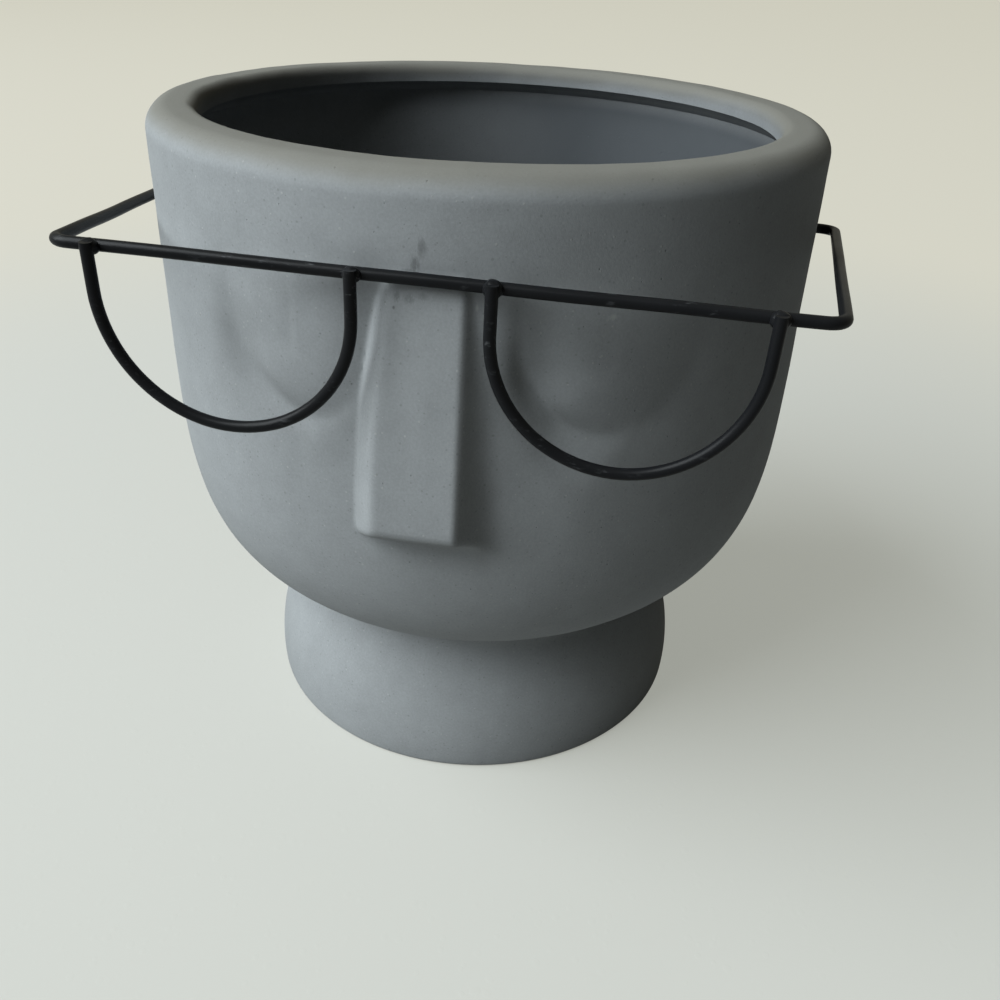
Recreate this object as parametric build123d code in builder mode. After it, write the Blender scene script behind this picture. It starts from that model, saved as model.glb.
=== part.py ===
"""Head planter: a slip-cast stoneware head pot wearing loose wire glasses.

Millimetres, +Z up. The origin is the middle of the foot on the floor, and the face looks along -Y.
"""

import os
from math import asin, atan2, cos, hypot, sin, sqrt, tan

from build123d import *

os.makedirs("parts", exist_ok=True)

# Pot body
pot_height = 202.0
rim_radius = 100.0
belly_swell = 0.9
side_height = 68.5
side_swell = 0.15
wall = 9.5
bowl_base_sink = 5.5
bowl_side_power = 2.49
bowl_base_power = 3.95
bowl_steps = 8

# Lip of the mouth
lip_width = 14.3
lip_outer_round = 6.5
lip_inner_round = 3.2
lip_depth = 6.0
lip_undercut = 3.5

# Neck and foot
foot_radius = 76.3
foot_flare = 8.9
foot_height = 42.0
foot_swell = 3.0
foot_edge_round = 1.6
foot_ring_width = 9.0
neck_pinch = 1.4
neck_rise = 5.0
bowl_root_flare = 1.1
base_recess = 3.0
floor_thickness = 8.0
drain_radius = 6.5

# Nose: a long wedge that grows out of the forehead
nose_top_drop = 15.0
nose_length = 74.0
nose_tip_reach = 8.6
nose_top_sink = 0.6
nose_tip_half_width = 13.8
nose_top_half_width = 10.4
nose_root_depth = 6.0
nose_root_tip_half_width = 25.5
nose_root_top_half_width = 14.0
nose_root_tip_drop = 6.5
nose_edge_round = 4.0
nose_tip_round = 2.8

# Closed eyes: a soft U-shaped valley round each lid, fading out towards the brow
eye_place = 37.5
eye_drop = 45.0
eye_half_width = 17.5
eye_leg = 28.0
eye_depth = 2.4
eye_lean = 2.5
eye_valley_radius = 11.0

# Wire glasses
wire_radius = 1.5
bend_radius = 5.0
bar_drop = 22.9
bar_lean = 1.4
brow_gap = 0.7
lens_place = 47.0
lens_radius = 31.0
lens_leg = 10.0
lens_shift = 2.5
left_overhang = 10.6
right_overhang = 14.0
left_arm_gap = 0.5
right_arm_gap = 4.9
hook_setback = 12.0
hook_drop = 32.8
hook_reach = 3.0
hook_seat_gap = 0.3
ear_hole_radius = 2.5
weld_gap = 0.1
weld_radius = 2.5
wire_end_round = 0.4

# Cuts run on by this much past what they cut
overrun = 2.0


# Places and radii that follow from the sizes above
belly_radius = rim_radius + belly_swell
belly_height = pot_height - side_height
inner_rim_radius = rim_radius - wall
inner_belly_radius = belly_radius - wall
mouth_radius = rim_radius - lip_width
undercut_height = pot_height - lip_depth - lip_undercut
side_middle_height = (belly_height + pot_height - lip_outer_round) / 2
foot_top_radius = foot_radius - foot_flare
foot_middle = ((foot_radius + foot_top_radius) / 2 + foot_swell, foot_height / 2)
neck_radius = foot_top_radius - neck_pinch
neck_height = foot_height + neck_rise
bowl_root_radius = foot_top_radius + bowl_root_flare
bowl_base_height = neck_height - bowl_base_sink
floor_height = base_recess + floor_thickness
nose_top_height = pot_height - nose_top_drop
nose_tip_height = nose_top_height - nose_length
eye_height = pot_height - eye_drop
bar_height = pot_height - bar_drop
hook_height = pot_height - hook_drop


def side_radius(height):
    """Outside radius of the pot's straight side at a height above the belly."""
    rise_share = (height - belly_height) / (pot_height - belly_height)
    return belly_radius + (rim_radius - belly_radius) * rise_share


def bowl_points(radius, base_height, root_radius):
    """Points up the rounded bowl, from its root on the neck to the belly."""
    root_share = (1 - (root_radius / radius) ** bowl_side_power) ** (1 / bowl_base_power)
    points = []
    for step in range(bowl_steps + 1):
        drop_share = root_share * (1 - step / bowl_steps)
        point_radius = radius * (1 - drop_share**bowl_base_power) ** (1 / bowl_side_power)
        points.append((point_radius, belly_height - (belly_height - base_height) * drop_share))
    return points


def sweep_wire(corners, bend, radius):
    """Sweep round wire of a radius along straight runs joined by bends."""
    with BuildPart() as wire:
        with BuildLine():
            route = FilletPolyline(*corners, radius=bend)
        with BuildSketch(Plane(origin=route @ 0, z_dir=route % 0)):
            Circle(radius)
        sweep()
        ends = wire.faces().filter_by(GeomType.PLANE).edges()
        chamfer(ends, wire_end_round)
    return wire.part


# Section lines of the bowl, outside and inside
outer_bowl = bowl_points(belly_radius, bowl_base_height, bowl_root_radius)
inner_bowl = bowl_points(inner_belly_radius, bowl_base_height + wall, neck_radius - wall)

# Nose, made alone so that its edges can be rounded before it joins the head
nose_root_face = rim_radius - nose_root_depth
nose_front_top = rim_radius - nose_top_sink
nose_front_tip = belly_radius + nose_tip_reach
nose_lean = hypot(nose_front_tip - nose_front_top, nose_top_height - nose_tip_height)
nose_front_plane = Plane(
    origin=(0, -nose_front_tip, nose_tip_height),
    x_dir=(1, 0, 0),
    z_dir=(0, nose_tip_height - nose_top_height, nose_front_tip - nose_front_top),
)
with BuildPart() as nose_form:
    with BuildSketch(Plane.XZ.offset(nose_root_face)):
        with BuildLine():
            Polyline(
                (-nose_root_tip_half_width, nose_tip_height - nose_root_tip_drop),
                (nose_root_tip_half_width, nose_tip_height - nose_root_tip_drop),
                (nose_root_top_half_width, nose_top_height),
                (-nose_root_top_half_width, nose_top_height),
                close=True,
            )
        make_face()
    with BuildSketch(nose_front_plane):
        with BuildLine():
            Polyline(
                (-nose_tip_half_width, 0),
                (nose_tip_half_width, 0),
                (nose_top_half_width, nose_lean),
                (-nose_top_half_width, nose_lean),
                close=True,
            )
        make_face()
    loft(ruled=True)
    front_face = nose_form.faces().sort_by(Axis.Y)[0]
    side_edges = front_face.edges().sort_by(Axis.Z)[1:3]
    fillet(side_edges, nose_edge_round)
    tip_edges = nose_form.faces().sort_by(Axis.Z)[0].edges().sort_by(Axis.Y)[0:3]
    fillet(tip_edges, nose_tip_round)

# Head pot
with BuildPart() as head_pot:
    with BuildSketch(Plane.YZ):
        with BuildLine():
            Polyline(
                (0, base_recess),
                (foot_radius - foot_ring_width, base_recess),
                (foot_radius - foot_ring_width, 0),
                (foot_radius - foot_edge_round, 0),
            )
            RadiusArc(
                (foot_radius - foot_edge_round, 0),
                (foot_radius, foot_edge_round),
                -foot_edge_round,
            )
            ThreePointArc(
                (foot_radius, foot_edge_round),
                foot_middle,
                (foot_top_radius, foot_height),
            )
            ThreePointArc(
                (foot_top_radius, foot_height),
                (neck_radius, neck_height),
                outer_bowl[0],
            )
            Spline(outer_bowl)
            Spline(
                outer_bowl[-1],
                (side_radius(side_middle_height) + side_swell, side_middle_height),
                (rim_radius, pot_height - lip_outer_round),
            )
            RadiusArc(
                (rim_radius, pot_height - lip_outer_round),
                (rim_radius - lip_outer_round, pot_height),
                -lip_outer_round,
            )
            Line(
                (rim_radius - lip_outer_round, pot_height),
                (mouth_radius + lip_inner_round, pot_height),
            )
            RadiusArc(
                (mouth_radius + lip_inner_round, pot_height),
                (mouth_radius, pot_height - lip_inner_round),
                -lip_inner_round,
            )
            Polyline(
                (mouth_radius, pot_height - lip_inner_round),
                (mouth_radius, pot_height - lip_depth),
                (inner_rim_radius, undercut_height),
                inner_bowl[-1],
            )
            Spline(inner_bowl)
            ThreePointArc(
                inner_bowl[0],
                (neck_radius - wall, neck_height + wall / 2),
                (foot_top_radius - wall, foot_height),
            )
            ThreePointArc(
                (foot_top_radius - wall, foot_height),
                (foot_middle[0] - wall, foot_middle[1] + wall / 2),
                (foot_radius - wall, floor_height),
            )
            Polyline((foot_radius - wall, floor_height), (0, floor_height), (0, base_recess))
        make_face()
    revolve(axis=Axis.Z)
    add(nose_form.part)

    for side in (-1, 1):
        eye_angle = side * asin(eye_place / side_radius(eye_height))
        eye_reach = side_radius(eye_height) - eye_depth + eye_valley_radius
        eye_plane = Plane(
            origin=(eye_reach * sin(eye_angle), -eye_reach * cos(eye_angle), eye_height),
            x_dir=(cos(eye_angle), sin(eye_angle), 0),
            z_dir=(sin(eye_angle), -cos(eye_angle), 0),
        ).rotated((eye_lean, 0, 0))
        with BuildLine(eye_plane):
            valley_start = Line((-eye_half_width, eye_leg), (-eye_half_width, 0))
            ThreePointArc((-eye_half_width, 0), (0, -eye_half_width), (eye_half_width, 0))
            Line((eye_half_width, 0), (eye_half_width, eye_leg))
        with BuildSketch(Plane(origin=valley_start @ 0, z_dir=valley_start % 0)):
            Circle(eye_valley_radius)
        sweep(mode=Mode.SUBTRACT)

    ear_hole_height = hook_height + ear_hole_radius - wire_radius - hook_seat_gap
    with Locations((0, hook_setback, ear_hole_height)):
        Cylinder(
            ear_hole_radius,
            2 * (rim_radius + overrun),
            rotation=(0, 90, 0),
            mode=Mode.SUBTRACT,
        )
    with Locations((0, 0, (base_recess + floor_height) / 2)):
        Cylinder(
            drain_radius,
            floor_thickness + 2 * overrun,
            mode=Mode.SUBTRACT,
        )

# Places of the glasses, worked out from the head that they sit on
bar_face = side_radius(bar_height) + brow_gap + wire_radius
bar_left = lens_shift - lens_place - lens_radius - left_overhang
bar_right = lens_shift + lens_place + lens_radius + right_overhang
arm_run = bar_face + hook_setback
hook_inner_radius = side_radius(hook_height) - wall
hook_tip = sqrt(hook_inner_radius**2 - hook_setback**2) - hook_reach


def hook_corner(bar_end, gap):
    """How far out an arm's hook stands when the arm clears the head by a gap."""
    clear_radius = side_radius(hook_height) + wire_radius + gap
    splay = asin(clear_radius / hypot(bar_end, bar_face)) - atan2(abs(bar_end), bar_face)
    return abs(bar_end) + arm_run * tan(splay)


hook_left = -hook_corner(bar_left, left_arm_gap)
hook_right = hook_corner(bar_right, right_arm_gap)

# Brow wire: one length bent into hook, arm, brow bar, arm and hook
brow_wire_part = sweep_wire(
    (
        (-hook_tip, hook_setback, hook_height),
        (hook_left, hook_setback, hook_height),
        (bar_left, -bar_face, bar_height + bar_lean),
        (bar_right, -bar_face, bar_height - bar_lean),
        (hook_right, hook_setback, hook_height),
        (hook_tip, hook_setback, hook_height),
    ),
    bend_radius,
    wire_radius,
)

# Lens wires lie on the front of the bar, in a plane that leans with it
lens_face = bar_face + 2 * wire_radius + weld_gap
lens_middle_rise = bar_lean * (bar_left + bar_right - 2 * lens_shift) / (bar_right - bar_left)
lens_plane = Plane(
    origin=(lens_shift, -lens_face, bar_height + lens_middle_rise),
    x_dir=(bar_right - bar_left, 0, -2 * bar_lean),
    z_dir=(0, -1, 0),
)


def bend_lens(middle):
    """Bend one half-moon lens wire about a middle along the bar."""
    near_end = (middle - lens_radius, wire_radius)
    far_end = (middle + lens_radius, wire_radius)
    with BuildPart() as lens_wire:
        with BuildLine(lens_plane):
            near_leg = Line(near_end, (middle - lens_radius, -lens_leg))
            ThreePointArc(
                (middle - lens_radius, -lens_leg),
                (middle, -lens_leg - lens_radius),
                (middle + lens_radius, -lens_leg),
            )
            Line((middle + lens_radius, -lens_leg), far_end)
        with BuildSketch(Plane(origin=near_leg @ 0, z_dir=near_leg % 0)):
            Circle(wire_radius)
        sweep()
        chamfer(lens_wire.faces().filter_by(GeomType.PLANE).edges(), wire_end_round)
    return lens_wire.part


left_lens_part = bend_lens(-lens_place)
right_lens_part = bend_lens(lens_place)

# Weld beads fill the corners where the lens wires cross the bar
weld_plane = lens_plane.offset(-wire_radius - weld_gap / 2)
with BuildPart() as lens_welds:
    weld_spots = []
    for middle in (-lens_place, lens_place):
        weld_spots.append((middle - lens_radius, 0))
        weld_spots.append((middle + lens_radius, 0))
    with BuildSketch(weld_plane):
        with Locations(*weld_spots):
            Circle(weld_radius)
    extrude(amount=wire_radius, both=True)
    add(brow_wire_part, mode=Mode.SUBTRACT)
    add(left_lens_part, mode=Mode.SUBTRACT)
    add(right_lens_part, mode=Mode.SUBTRACT)

pieces = {
    "head_pot": head_pot.part,
    "brow_wire": brow_wire_part,
    "left_lens_wire": left_lens_part,
    "right_lens_wire": right_lens_part,
    "lens_welds": lens_welds.part,
}
for name, piece in pieces.items():
    piece.label = name
    export_step(piece, f"parts/{name}.step")
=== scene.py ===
"""Head planter: the looks of a stoneware head pot and its loose wire glasses.

Run as a script in Blender. Every length is in metres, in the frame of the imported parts:
the origin is the middle of the foot on the floor, +Z is up and the face looks along -Y.
"""

import math

import bpy
from mathutils import Matrix, Vector


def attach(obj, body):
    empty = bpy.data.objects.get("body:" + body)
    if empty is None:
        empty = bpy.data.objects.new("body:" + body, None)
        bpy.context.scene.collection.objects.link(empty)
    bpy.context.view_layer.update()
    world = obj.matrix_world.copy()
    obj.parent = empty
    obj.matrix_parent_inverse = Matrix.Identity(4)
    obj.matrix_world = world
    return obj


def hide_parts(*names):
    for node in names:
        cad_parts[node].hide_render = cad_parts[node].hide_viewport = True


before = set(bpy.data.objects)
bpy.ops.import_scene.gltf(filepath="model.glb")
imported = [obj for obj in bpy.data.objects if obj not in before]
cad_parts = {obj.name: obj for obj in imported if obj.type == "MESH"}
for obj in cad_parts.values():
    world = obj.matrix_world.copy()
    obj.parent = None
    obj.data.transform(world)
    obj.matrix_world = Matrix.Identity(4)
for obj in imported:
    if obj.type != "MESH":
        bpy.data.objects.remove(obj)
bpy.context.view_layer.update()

bl_info = {
    "name": "Head planter",
    "version": (1, 0, 0),
    "blender": (4, 5, 0),
    "location": "3D View > Sidebar > Planter",
    "description": "Makes a stoneware head planter, its wire glasses and a plain stage",
    "category": "Add Mesh",
}

MM = 0.001
SAME_PLACE = 0.001 * MM
POT_MIDDLE = Vector((0.0, 0.0, 0.1))
SENSOR_WIDTH = 36.0

# Places along Y between which the marks on the face fade out
FACE_SIDE = (-0.08, -0.06)

# Surface midway in the wall, which divides the painted shade of the inside from the outside
BOWL_FOOT = 0.051
WALL_MIDDLE = 0.096
BOWL_FULLNESS = 0.4

# Heights or radii between which the painted shade inside stops, the lip's inner edge darkens, painted
# light and shade come in on the lip's top, and a form comes in on the lip
INSIDE_SHADE_TOP = (0.188, 0.196)
LIP_INNER = (0.0862, 0.0895)
PAINTED_LIP_TOP = (0.1965, 0.2012)
LIP_TOP = (0.196, 0.202)

# Distances from the axis over which the floor becomes far floor, and its glow comes in by the foot
FLOOR_CHANGE = (0.3, 0.75)
UNDER_FOOT = (0.04, 0.07)

# Colours and shares of the light, and the second tone of the wire's paint
LAMP_COLOUR = (0.93, 1.0, 1.03)
FILL_COLOUR = (1.0, 0.94, 0.76)
GLOSS_SHARE = 0.4
DRY_PAINT = (0.02, 0.02, 0.022)

# Steps and angles of the meshes
WIRE_STEP = 0.9 * MM
BEAD_LUMPS = 0.9 * MM
MOON_STEPS = 48
POT_SHARP = 50
WIRE_SHARP = 60


# Kinds of properties

def kind_of(make_property, **limits):
    """A kind of property, made from its name, its description and its default."""

    def make(name, description, default):
        """One property of this kind."""
        return make_property(name=name, description=description, default=default, **limits)

    return make


length = kind_of(bpy.props.FloatProperty, precision=5, subtype="DISTANCE", unit="LENGTH")
share = kind_of(bpy.props.FloatProperty, min=0.0, max=1.0, subtype="FACTOR")
number = kind_of(bpy.props.FloatProperty)
whole = kind_of(bpy.props.IntProperty, min=0)
colour = kind_of(bpy.props.FloatVectorProperty, size=3, min=0.0, max=1.0, subtype="COLOR")
place = kind_of(bpy.props.FloatVectorProperty, size=3, precision=5, subtype="TRANSLATION", unit="LENGTH")
rotation = kind_of(bpy.props.FloatProperty, subtype="ANGLE", unit="ROTATION")


def angle(name, description, degrees):
    """An angle, its default given in degrees."""
    return rotation(name, description, math.radians(degrees))


# Sizes and colours that a user would change

class PotSizes(bpy.types.PropertyGroup):
    """Section of the turned pot, from the foot up over the lip and down inside."""

    pot_height: length("Height", "Floor to the top of the lip", 0.202)
    rim_radius: length("Rim radius", "Outside radius at the lip", 0.1)
    belly_radius: length("Belly radius", "Outside radius where the bowl is widest", 0.1009)
    belly_height: length("Belly height", "Height at which the bowl is widest", 0.1335)
    wall: length("Wall", "Thickness of the wall", 0.0095)
    mouth_radius: length("Mouth radius", "Inside radius of the thick lip", 0.0857)
    lip_outer_round: length("Outer lip round", "Radius of the lip's outer edge", 0.0065)
    lip_inner_round: length("Inner lip round", "Radius of the lip's inner edge", 0.0032)
    lip_depth: length("Lip depth", "How far the thick lip reaches down inside", 0.006)
    lip_undercut: length("Lip undercut", "Height of the slope under the lip", 0.0035)
    foot_radius: length("Foot radius", "Outside radius where the foot stands", 0.0763)
    foot_top_radius: length("Foot top radius", "Outside radius at the top of the foot", 0.0674)
    foot_height: length("Foot height", "Height of the flared foot", 0.042)
    foot_swell: length("Foot swell", "How far the foot's side bulges", 0.003)
    neck_radius: length("Neck radius", "Radius of the groove above the foot", 0.066)
    neck_height: length("Neck height", "Height of the groove above the foot", 0.047)
    root_radius: length("Bowl root radius", "Radius where the bowl leaves the neck", 0.0685)
    base_height: length("Bowl base height", "Height of the bowl's unseen lowest point", 0.0415)
    side_power: number("Side power", "How full the bowl's side is", 2.49)
    base_power: number("Base power", "How full the bowl's base is", 3.95)
    floor_height: length("Floor height", "Inside floor above the ground", 0.011)
    base_recess: length("Base recess", "Depth of the hollow under the foot", 0.003)
    ring_radius: length("Foot ring radius", "Inside radius of the ring that it stands on", 0.0673)
    drain_radius: length("Drain radius", "Radius of the hole in the floor", 0.0065)
    ear_radius: length("Ear hole radius", "Radius of the two holes for the hooks", 0.0025)
    ear_place: place("Ear hole place", "A point on the line of the two ear holes", (0.0, 0.012, 0.1699))
    unevenness: length("Unevenness", "Depth of the slow waves that casting leaves", 0.0004)
    lip_waver: length("Lip waver", "How far the lip's inner edge wanders", 0.0006)
    columns: whole("Columns", "Steps round the pot", 320)
    front_share: share("Front share", "How much closer the steps are at the face", 0.7)


class FaceSizes(bpy.types.PropertyGroup):
    """The long wedge nose and the two closed eyes."""

    nose_top: length("Nose top", "Height at which the nose leaves the forehead", 0.187)
    nose_tip: length("Nose tip", "Height of the nose's lower end", 0.1128)
    nose_reach: length("Nose reach", "Distance of the nose's tip from the pot's axis", 0.1095)
    nose_top_reach: length("Nose top reach", "Distance of the nose's top from the axis", 0.0994)
    left_top_half: length("Left half width, top", "Nose middle to left edge at the top", 0.0046)
    left_tip_half: length("Left half width, tip", "Nose middle to left edge at the tip", 0.0105)
    left_spread: number("Left spread", "How fast the left edge moves out below the top", 0.125)
    right_half: length("Right half width", "Nose middle to right edge", 0.0119)
    bevel_width: length("Bevel width", "Width of the bevel on the nose's left edge", 0.0042)
    bevel_slope: number("Bevel slope", "How steeply that bevel falls back", 1.1)
    left_slope: number("Left flank slope", "How steeply the nose's left side falls back", 3.0)
    right_slope: number("Right flank slope", "How steeply the nose's right side falls back", 1.9)
    under_slope: number("Underside slope", "How steeply the nose's underside falls back", 2.2)
    edge_blend: length("Edge blend", "Width over which the nose's edges round off", 0.0055)
    root_blend: length("Root blend", "Width over which the nose runs into the face", 0.006)
    eye_radius: length("Eye radius", "Radius of the valley round each lid", 0.0209)
    eye_power: number("Eye power", "Two makes a round valley, less makes it more pointed", 1.75)
    left_eye: length("Left eye place", "How far left the first eye's middle is", -0.0312)
    left_eye_height: length("Left eye height", "Height of the first eye's middle", 0.1568)
    right_eye: length("Right eye place", "How far right the second eye's middle is", 0.0462)
    right_eye_height: length("Right eye height", "Height of the second eye's middle", 0.156)
    valley_depth: length("Valley depth", "Depth of the valley round each lid", 0.0029)
    valley_width: length("Valley width", "Half width of that valley", 0.0056)
    lid_swell: length("Lid swell", "How far each lid bulges", 0.0007)


class WireSizes(bpy.types.PropertyGroup):
    """The bent wires of the glasses and the beads that join them."""

    wire_radius: length("Wire radius", "Radius of all the wires", 0.0015)
    bend_radius: length("Bend radius", "Inside line radius of the bends", 0.005)
    bar_face: length("Bar distance", "Distance of the brow bar from the pot's axis", 0.1025)
    bar_left: place("Bar left end", "Left corner of the brow bar", (-0.0861, -0.1025, 0.1805))
    bar_right: place("Bar right end", "Right corner of the brow bar", (0.0945, -0.1025, 0.1777))
    hook_left: place("Left hook corner", "Where the left arm enters its hole", (-0.10607, 0.012, 0.1692))
    hook_right: place("Right hook corner", "Where the right arm enters its hole", (0.10926, 0.012, 0.1692))
    hook_tip: length("Hook tip", "Distance of the hooks' ends from the middle", 0.08714)
    lens_face: length("Lens distance", "Distance of the lens wires from the pot's axis", 0.1056)
    lens_place: length("Lens place", "Distance of each lens from the middle of the bar", 0.047)
    lens_shift: length("Lens shift", "How far the pair of lenses sits to one side", 0.0025)
    lens_radius: length("Lens radius", "Radius of each half-moon", 0.031)
    lens_leg: length("Lens leg", "Straight run of each lens wire below the bar", 0.01)
    bead_radius: length("Bead radius", "Radius of the beads that join lens and bar", 0.0023)
    waver: length("Waver", "How far hand-bent wire wanders from its line", 0.00035)
    seed: whole("Seed", "Picks the wander of the wires and the shapes of the beads", 4)


class Finishes(bpy.types.PropertyGroup):
    """Colours of the stoneware, the wire and the stage."""

    clay: colour("Clay", "Colour of the matte stoneware", (0.272, 0.284, 0.29))
    clay_dark: colour("Dark specks", "Colour of pinholes and dark grains", (0.1, 0.102, 0.1))
    # Also the colour of a painted highlight on the right lid
    pale_grain_and_highlight: colour("Pale grains", "Colour of pale grains in the clay", (0.46, 0.46, 0.45))
    # Painted warm light and shade on the lip's top
    painted_lip_top_tone: colour("Lip dust", "Warm tone of the handled lip", (0.145, 0.137, 0.11))
    # Painted shade inside the bowl; the same colour darkens the lip's inner edge
    stain: colour("Inside stain", "Colour that soil and water leave inside", (0.068, 0.075, 0.082))
    rub: colour("Rub marks", "Colour of the marks that the wire leaves", (0.06, 0.062, 0.062))
    paint: colour("Wire paint", "Colour of the satin paint on the wire", (0.006, 0.0065, 0.0075))
    worn: colour("Worn wire", "Colour of paint that is rubbed thin", (0.11, 0.115, 0.12))
    floor: colour("Floor", "Colour of the plain floor near the pot", (0.28, 0.28, 0.27))
    far_floor: colour("Far floor", "Colour of the floor far from the pot", (0.1, 0.1, 0.1))
    floor_glow: colour("Floor paleness", "Paleness that the camera sees in the floor", (0.33, 0.34, 0.305))
    far_glow: colour("Far paleness", "Paleness that the camera sees far away", (0.575, 0.565, 0.475))
    backdrop: colour("Backdrop", "Colour behind the floor", (0.73, 0.715, 0.6))


class StageSizes(bpy.types.PropertyGroup):
    """Camera, lamp and floor."""

    camera_place: place("Camera place", "Where the camera stands", (0.04975, -0.3038, 0.24638))
    yaw: angle("Yaw", "Turn of the view about the upright", -7.6)
    pitch: angle("Pitch", "How far the view looks down", 31.73)
    roll: angle("Roll", "Tilt of the picture", 2.74)
    lens: number("Lens", "Focal length in millimetres on a 36 mm sensor", 34.08)
    shift_x: number("Shift across", "Camera shift across the picture", -0.00314)
    shift_y: number("Shift up", "Camera shift up the picture", 0.01342)
    lamp_azimuth: angle("Lamp azimuth", "How far left of the face the lamp stands", 62.0)
    lamp_height: angle("Lamp height", "How high the lamp stands", 41.0)
    lamp_distance: length("Lamp distance", "Distance of the lamp from the pot", 3.2)
    lamp_width: length("Lamp width", "Width of the broad lamp", 2.9)
    lamp_tall: length("Lamp tall", "Height of the broad lamp", 2.6)
    lamp_power: number("Lamp power", "Power of the lamp in watts", 198.0)
    fill: number("Fill", "Strength of the light from all round", 0.018)
    ceiling: number("Ceiling", "Strength of the light from above", 0.16)
    floor_radius: length("Floor radius", "Radius of the round floor", 8.0)


class PlanterSettings(bpy.types.PropertyGroup):
    """All the sizes and colours of the planter."""

    pot: bpy.props.PointerProperty(type=PotSizes)
    face: bpy.props.PointerProperty(type=FaceSizes)
    wire: bpy.props.PointerProperty(type=WireSizes)
    finish: bpy.props.PointerProperty(type=Finishes)
    stage: bpy.props.PointerProperty(type=StageSizes)


# Node trees, written as formulas

class Value:
    """A number in a node tree. The usual signs of arithmetic add maths nodes."""

    def __init__(self, tree, socket):
        self.tree = tree
        self.socket = socket

    def __pow__(self, other):
        return self.tree.maths("POWER", self, other)

    def __neg__(self):
        return self.tree.maths("MULTIPLY", self, -1.0)


def add_sign(sign, operation):
    """Give values a sign of arithmetic, with the value on either side of it."""
    setattr(Value, f"__{sign}__", lambda self, other: self.tree.maths(operation, self, other))
    setattr(Value, f"__r{sign}__", lambda self, other: self.tree.maths(operation, other, self))


for sign, operation in (("add", "ADD"), ("sub", "SUBTRACT"), ("mul", "MULTIPLY"), ("truediv", "DIVIDE")):
    add_sign(sign, operation)


class Tree:
    """A node tree that is laid out in columns as its nodes are added."""

    ROWS = 5
    STEP = (210, 190)

    def __init__(self, node_tree):
        self.node_tree = node_tree
        self.count = 0

    def node(self, kind, inputs=None, **settings):
        """Add a node, set its options, and feed its inputs by name or number."""
        node = self.node_tree.nodes.new(kind)
        column, row = divmod(self.count, self.ROWS)
        node.location = (column * self.STEP[0], -row * self.STEP[1])
        self.count += 1
        for name, setting in settings.items():
            setattr(node, name, setting)
        for name, value in (inputs or {}).items():
            self.feed(node.inputs[name], value)
        return node

    def group(self, group, inputs):
        """Add a shader group and feed its inputs."""
        return self.node("ShaderNodeGroup", inputs, node_tree=group)

    def feed(self, socket, value):
        """Link a value or a socket to an input, or set the input to a number or a colour."""
        if isinstance(value, Value):
            self.node_tree.links.new(value.socket, socket)
        elif isinstance(value, bpy.types.NodeSocket):
            self.node_tree.links.new(value, socket)
        elif socket.type == "RGBA":
            socket.default_value = (*value, 1.0)
        else:
            socket.default_value = value

    def value(self, socket):
        """Make a socket ready for arithmetic."""
        return Value(self, socket)

    def maths(self, operation, *values):
        """One maths node."""
        node = self.node("ShaderNodeMath", operation=operation)
        for number_of_input, value in enumerate(values):
            self.feed(node.inputs[number_of_input], value)
        return self.value(node.outputs[0])

    def ramp(self, value, low, high, bottom=0.0, top=1.0, soft=True):
        """Run a value from bottom to top as it goes from low to high, and hold it outside."""
        kind = "SMOOTHSTEP" if soft else "LINEAR"
        inputs = {0: value, 1: low, 2: high, 3: bottom, 4: top}
        node = self.node("ShaderNodeMapRange", inputs, interpolation_type=kind)
        return self.value(node.outputs[0])

    def fall(self, value, low, high):
        """Run a value from one down to nothing as it goes from low to high."""
        return self.ramp(value, low, high, 1.0, 0.0)

    def parts(self, vector):
        """The three numbers of a vector."""
        node = self.node("ShaderNodeSeparateXYZ", {0: vector})
        return [self.value(output) for output in node.outputs]

    def vector(self, x, y, z):
        """A vector from three numbers."""
        return self.node("ShaderNodeCombineXYZ", {0: x, 1: y, 2: z}).outputs[0]

    def noise(self, vector, scale, detail=2.0, roughness=0.5):
        """Soft noise about one half."""
        inputs = {"Vector": vector, "Scale": scale, "Detail": detail, "Roughness": roughness}
        return self.value(self.node("ShaderNodeTexNoise", inputs).outputs[0])

    def blend(self, factor, first, second):
        """Mix two colours, whose sockets come after those for numbers and vectors."""
        node = self.node("ShaderNodeMix", {0: factor, 6: first, 7: second}, data_type="RGBA")
        return node.outputs[2]


SOCKETS = {
    "float": "NodeSocketFloat",
    "whole": "NodeSocketInt",
    "vector": "NodeSocketVector",
    "geometry": "NodeSocketGeometry",
    "material": "NodeSocketMaterial",
}


def floats(*names):
    """Number sockets with these names."""
    return [(name, "float") for name in names]


def make_group(kind, name, inputs, outputs):
    """A new node group with named sockets, and its tree, inputs and output node."""
    group = bpy.data.node_groups.new(name, kind)
    for socket_name, socket_kind in inputs:
        group.interface.new_socket(socket_name, in_out="INPUT", socket_type=SOCKETS[socket_kind])
    for socket_name, socket_kind in outputs:
        group.interface.new_socket(socket_name, in_out="OUTPUT", socket_type=SOCKETS[socket_kind])
    tree = Tree(group)
    start = tree.node("NodeGroupInput")
    end = group.nodes.new("NodeGroupOutput")
    found = {}
    for number_of_input, (socket_name, socket_kind) in enumerate(inputs):
        socket = start.outputs[number_of_input]
        is_number = socket_kind in ("float", "whole")
        found[socket_name] = tree.value(socket) if is_number else socket
    return group, tree, found, end


def finish_group(tree, end, results):
    """Feed a group's outputs, and put its output node to the right of everything else."""
    for name, value in results.items():
        tree.feed(end.inputs[name], value)
    end.location = ((tree.count // tree.ROWS + 1) * tree.STEP[0], 0)


# Shared effects of the materials

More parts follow.
